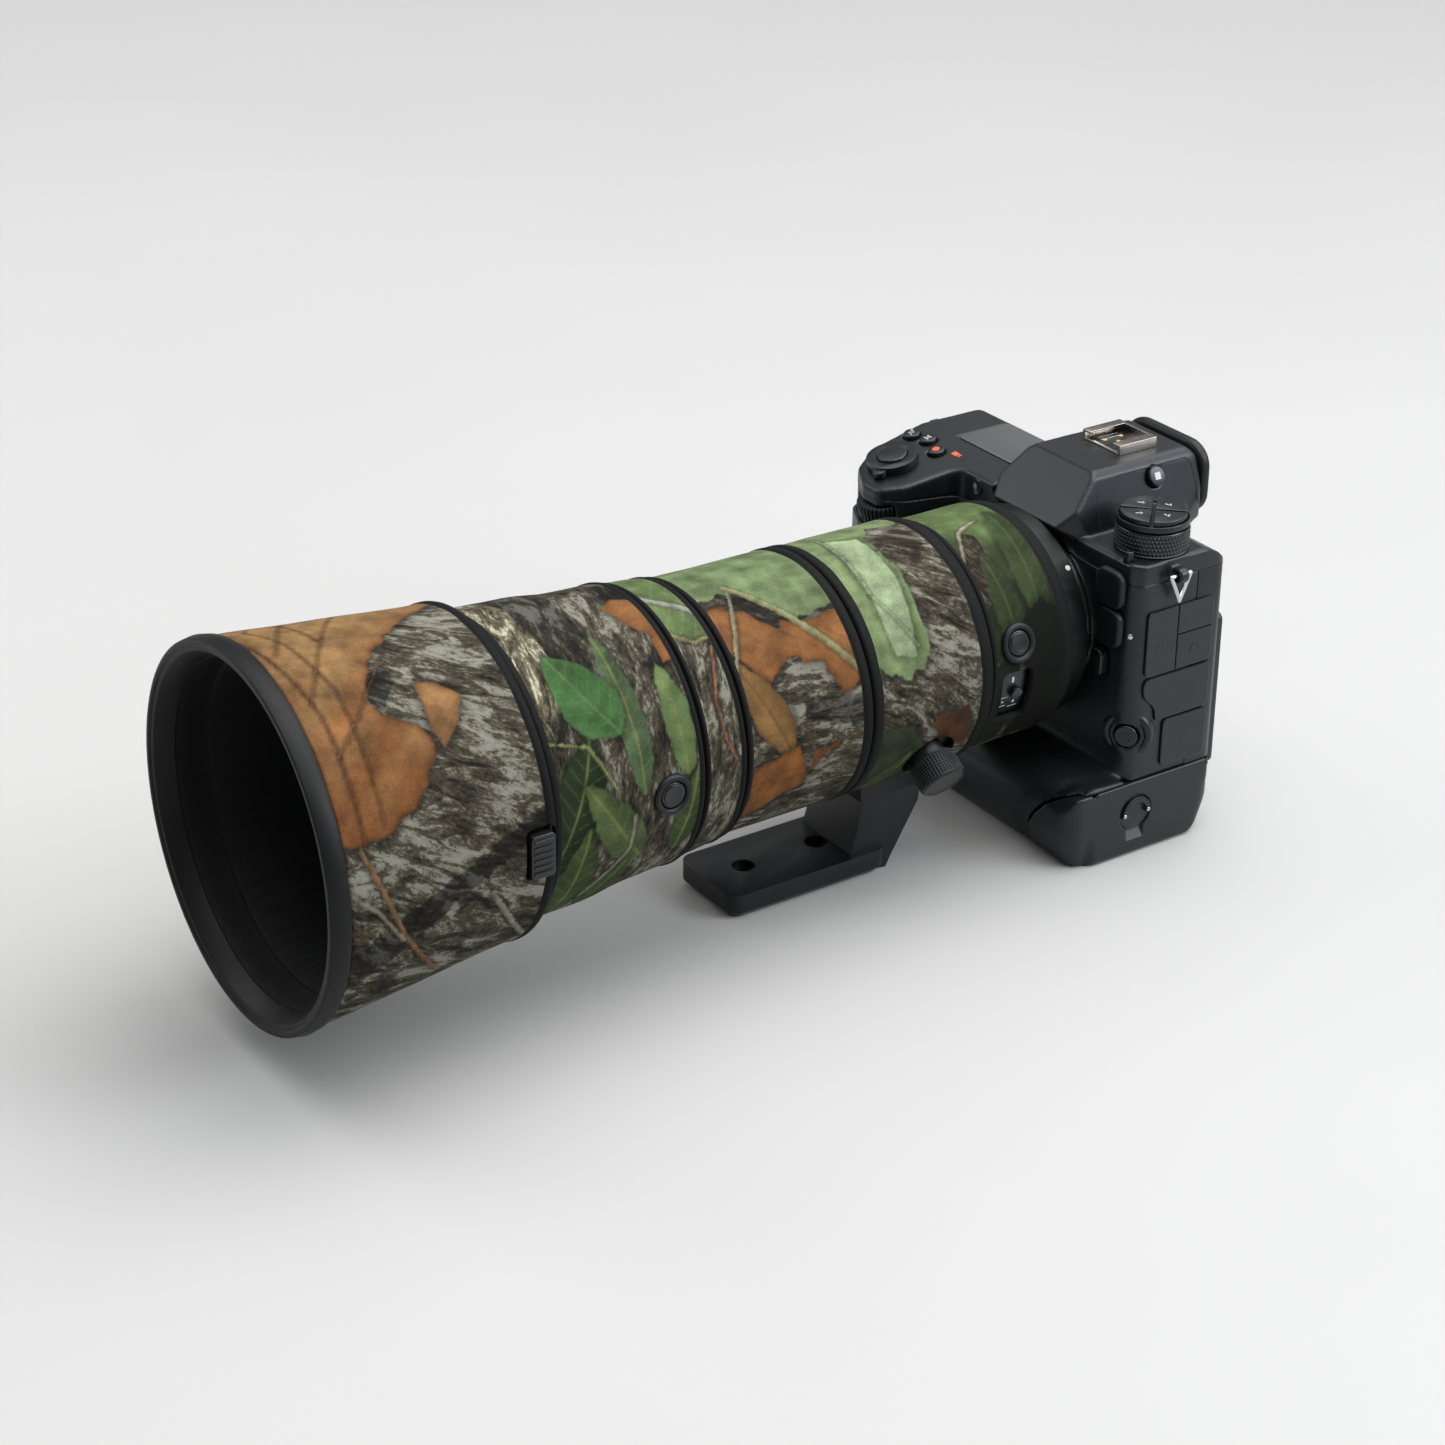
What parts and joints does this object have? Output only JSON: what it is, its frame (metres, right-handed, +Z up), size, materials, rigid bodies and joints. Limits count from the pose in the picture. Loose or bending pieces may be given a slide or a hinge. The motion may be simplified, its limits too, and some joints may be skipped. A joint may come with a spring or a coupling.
{
  "type": "mirrorless camera with telephoto lens",
  "caption": "Professional mirrorless camera with a built-in vertical grip, carrying a long telephoto lens with hood, tripod foot and a camouflage-printed neoprene coat.",
  "frame": {"origin": "mouth of the tripod socket in the base, under the lens axis", "axes": "+X to the camera's left (port covers), -Y the way the lens looks, +Z up; the base and the lens foot stand on z = 0"},
  "size_m": [0.1594, 0.3975, 0.1489],
  "materials": {
    "black_casing": "fine textured paint",
    "black_rubber": "grained rubber",
    "dark_controls": "satin",
    "hot_shoe_metal": "plated",
    "mount_steel": "polished",
    "display_glass": "clear",
    "lens_glass": "coated",
    "lens_metal": "black anodised",
    "lens_plastic": "matte",
    "printed_coat": "printed knitted face",
    "battery_plastic": "satin",
    "electronics": "satin"
  },
  "bodies": {
    "camera": {"front_casing": "black_casing", "rear_casing": "black_casing", "hand_grip_rubber": "black_rubber", "base_casing": "black_casing", "top_cover": "black_casing", "viewfinder_unit": "black_casing", "eyecup": "black_rubber", "hot_shoe": "hot_shoe_metal", "top_display_glass": "display_glass", "lens_mount_ring": "mount_steel", "image_sensor": "electronics", "main_circuit_board": "electronics", "lens_barrel": "lens_plastic", "lens_elements": "lens_glass", "front_coat": "printed_coat", "rear_coat": "printed_coat"},
    "battery_tray": {"battery_pack": "battery_plastic", "battery_door": "black_casing"},
    "focus_ring": {"focus_ring": "lens_metal", "focus_ring_coat": "printed_coat"},
    "tripod_collar": {"tripod_collar": "lens_metal", "tripod_foot": "lens_metal", "collar_coat": "printed_coat"},
    "hood": {"hood_shell": "lens_plastic", "hood_coat": "printed_coat", "hood_rim": "black_rubber"},
    "control_ring": {"control_ring": "lens_metal", "control_ring_coat": "printed_coat"},
    "shutter_button": {"shutter_button": "dark_controls"},
    "power_switch_ring": {"power_switch_ring": "dark_controls"},
    "front_command_dial": {"front_command_dial": "dark_controls"},
    "rear_command_dial": {"rear_command_dial": "dark_controls"},
    "record_button": {"record_button": "dark_controls"},
    "iso_button": {"iso_button": "dark_controls"},
    "exposure_button": {"exposure_button": "dark_controls"},
    "release_mode_dial": {"release_mode_dial": "dark_controls"},
    "dial_lock_pin": {"dial_lock_pin": "dark_controls"},
    "dial_button_rear": {"dial_button_rear": "dark_controls"},
    "dial_button_inner": {"dial_button_inner": "dark_controls"},
    "dial_button_front": {"dial_button_front": "dark_controls"},
    "dial_button_outer": {"dial_button_outer": "dark_controls"},
    "monitor_mode_button": {"monitor_mode_button": "dark_controls"},
    "focus_mode_button": {"focus_mode_button": "dark_controls"},
    "lens_release_button": {"lens_release_button": "dark_controls"},
    "multi_selector": {"multi_selector": "dark_controls"},
    "flash_sync_cover": {"flash_sync_cover": "black_rubber"},
    "remote_socket_cover": {"remote_socket_cover": "black_rubber"},
    "audio_socket_cover": {"audio_socket_cover": "black_rubber"},
    "hdmi_socket_cover": {"hdmi_socket_cover": "black_rubber"},
    "usb_socket_cover": {"usb_socket_cover": "black_rubber"},
    "battery_latch": {"battery_latch": "dark_controls"},
    "monitor_arm": {"monitor_arm": "black_casing"},
    "monitor_panel": {"monitor_panel": "black_casing"},
    "strap_ring_port": {"strap_ring_port": "mount_steel"},
    "strap_ring_grip": {"strap_ring_grip": "mount_steel"},
    "collar_knob": {"collar_knob": "lens_metal"},
    "hood_lock_button": {"hood_lock_button": "dark_controls"},
    "lens_fn_button_rear": {"lens_fn_button_rear": "dark_controls"},
    "lens_fn_button_front": {"lens_fn_button_front": "dark_controls"},
    "focus_mode_switch": {"focus_mode_switch": "dark_controls"}
  },
  "joints": [
    {"name": "shutter_button_press", "type": "slide", "parent": "camera", "child": "shutter_button", "axis": [0, 0.2311, -0.9729], "range_m": [0, 0.0012], "stiffness_N_per_m": 600},
    {"name": "power_switch_ring_turn", "type": "hinge", "parent": "camera", "child": "power_switch_ring", "pos_m": [-0.0705, -0.0315, 0.11794], "axis": [0, -0.2311, 0.9729], "range_deg": [0, 45]},
    {"name": "front_command_dial_turn", "type": "hinge", "parent": "camera", "child": "front_command_dial", "pos_m": [-0.065, -0.0394, 0.1016], "axis": [0, -0.23, 0.9732], "continuous": true},
    {"name": "rear_command_dial_turn", "type": "hinge", "parent": "camera", "child": "rear_command_dial", "pos_m": [-0.066, 0.0195, 0.1131], "axis": [0, 0, 1], "continuous": true},
    {"name": "record_button_press", "type": "slide", "parent": "camera", "child": "record_button", "axis": [0, 0.2311, -0.9729], "range_m": [0, 0.0008], "stiffness_N_per_m": 500},
    {"name": "iso_button_press", "type": "slide", "parent": "camera", "child": "iso_button", "axis": [0, 0.2311, -0.9729], "range_m": [0, 0.0008], "stiffness_N_per_m": 500},
    {"name": "exposure_button_press", "type": "slide", "parent": "camera", "child": "exposure_button", "axis": [0, 0.2311, -0.9729], "range_m": [0, 0.0008], "stiffness_N_per_m": 500},
    {"name": "release_mode_dial_turn", "type": "hinge", "parent": "camera", "child": "release_mode_dial", "pos_m": [0.043, 0.0005, 0.118], "axis": [0, 0, 1], "range_deg": [-40, 140]},
    {"name": "dial_lock_pin_press", "type": "slide", "parent": "camera", "child": "dial_lock_pin", "axis": [0, 0, -1], "range_m": [0, 0.001], "stiffness_N_per_m": 500},
    {"name": "dial_button_rear_press", "type": "slide", "parent": "camera", "child": "dial_button_rear", "axis": [0, 0, -1], "range_m": [0, 0.0006], "stiffness_N_per_m": 500},
    {"name": "dial_button_inner_press", "type": "slide", "parent": "camera", "child": "dial_button_inner", "axis": [0, 0, -1], "range_m": [0, 0.0006], "stiffness_N_per_m": 500},
    {"name": "dial_button_front_press", "type": "slide", "parent": "camera", "child": "dial_button_front", "axis": [0, 0, -1], "range_m": [0, 0.0006], "stiffness_N_per_m": 500},
    {"name": "dial_button_outer_press", "type": "slide", "parent": "camera", "child": "dial_button_outer", "axis": [0, 0, -1], "range_m": [0, 0.0006], "stiffness_N_per_m": 500},
    {"name": "monitor_mode_button_press", "type": "slide", "parent": "camera", "child": "monitor_mode_button", "axis": [-0.9, 0, -0.4359], "range_m": [0, 0.0007], "stiffness_N_per_m": 500},
    {"name": "focus_mode_button_press", "type": "slide", "parent": "camera", "child": "focus_mode_button", "axis": [-0.62, 0.7846, 0], "range_m": [0, 0.001], "stiffness_N_per_m": 500},
    {"name": "lens_release_button_press", "type": "slide", "parent": "camera", "child": "lens_release_button", "axis": [0, 1, 0], "range_m": [0, 0.0015], "stiffness_N_per_m": 800},
    {"name": "multi_selector_press", "type": "slide", "parent": "camera", "child": "multi_selector", "axis": [0, -1, 0], "range_m": [0, 0.0007], "stiffness_N_per_m": 800},
    {"name": "flash_sync_cover_swing", "type": "hinge", "parent": "camera", "child": "flash_sync_cover", "pos_m": [0.0522, -0.018, 0.1067], "axis": [0, 0, 1], "range_deg": [0, 85]},
    {"name": "remote_socket_cover_swing", "type": "hinge", "parent": "camera", "child": "remote_socket_cover", "pos_m": [0.0522, -0.018, 0.0912], "axis": [0, 0, 1], "range_deg": [0, 85]},
    {"name": "audio_socket_cover_swing", "type": "hinge", "parent": "camera", "child": "audio_socket_cover", "pos_m": [0.057, 0.02, 0.0859], "axis": [0, 0, 1], "range_deg": [0, 85]},
    {"name": "hdmi_socket_cover_swing", "type": "hinge", "parent": "camera", "child": "hdmi_socket_cover", "pos_m": [0.057, 0.02, 0.063], "axis": [0, 0, 1], "range_deg": [0, 85]},
    {"name": "usb_socket_cover_swing", "type": "hinge", "parent": "camera", "child": "usb_socket_cover", "pos_m": [0.057, 0.02, 0.0434], "axis": [0, 0, 1], "range_deg": [0, 85]},
    {"name": "battery_tray_pull", "type": "slide", "parent": "camera", "child": "battery_tray", "axis": [1, 0, 0], "range_m": [0, 0.088]},
    {"name": "battery_latch_turn", "type": "hinge", "parent": "battery_tray", "child": "battery_latch", "pos_m": [0.0571, -0.0115, 0.0175], "axis": [1, 0, 0], "range_deg": [0, 90]},
    {"name": "monitor_arm_tilt", "type": "hinge", "parent": "camera", "child": "monitor_arm", "pos_m": [0, 0.0274, 0.02], "axis": [-1, 0, 0], "range_deg": [0, 60]},
    {"name": "monitor_panel_tilt", "type": "hinge", "parent": "monitor_arm", "child": "monitor_panel", "pos_m": [0, 0.0296, 0.0832], "axis": [1, 0, 0], "range_deg": [0, 90]},
    {"name": "strap_ring_port_swing", "type": "hinge", "parent": "camera", "child": "strap_ring_port", "pos_m": [0.0602, 0, 0.1126], "axis": [0, -1, 0], "range_deg": [0, 170]},
    {"name": "strap_ring_grip_swing", "type": "hinge", "parent": "camera", "child": "strap_ring_grip", "pos_m": [-0.0896, 0.004, 0.119], "axis": [0, 1, 0], "range_deg": [0, 170]},
    {"name": "control_ring_turn", "type": "hinge", "parent": "camera", "child": "control_ring", "pos_m": [0, -0.19, 0.082], "axis": [0, -1, 0], "continuous": true},
    {"name": "focus_ring_turn", "type": "hinge", "parent": "camera", "child": "focus_ring", "pos_m": [0, -0.152, 0.082], "axis": [0, -1, 0], "continuous": true},
    {"name": "tripod_collar_turn", "type": "hinge", "parent": "camera", "child": "tripod_collar", "pos_m": [0, -0.099, 0.082], "axis": [0, -1, 0], "continuous": true},
    {"name": "collar_knob_turn", "type": "hinge", "parent": "tripod_collar", "child": "collar_knob", "pos_m": [0.03946, -0.0955, 0.05538], "axis": [0.829, 0, -0.5592], "range_deg": [0, 270]},
    {"name": "hood_turn", "type": "hinge", "parent": "camera", "child": "hood", "pos_m": [0, -0.28, 0.082], "axis": [0, -1, 0], "range_deg": [0, 60]},
    {"name": "hood_lock_button_press", "type": "slide", "parent": "hood", "child": "hood_lock_button", "axis": [-1, 0, 0], "range_m": [0, 0.0008], "stiffness_N_per_m": 500},
    {"name": "lens_fn_button_rear_press", "type": "slide", "parent": "camera", "child": "lens_fn_button_rear", "axis": [-0.9627, 0, -0.2706], "range_m": [0, 0.001], "stiffness_N_per_m": 500},
    {"name": "lens_fn_button_front_press", "type": "slide", "parent": "camera", "child": "lens_fn_button_front", "axis": [-1, 0, 0.0087], "range_m": [0, 0.001], "stiffness_N_per_m": 500},
    {"name": "focus_mode_switch_shift", "type": "slide", "parent": "camera", "child": "focus_mode_switch", "axis": [0, -1, 0], "range_m": [0, 0.004]}
  ]
}
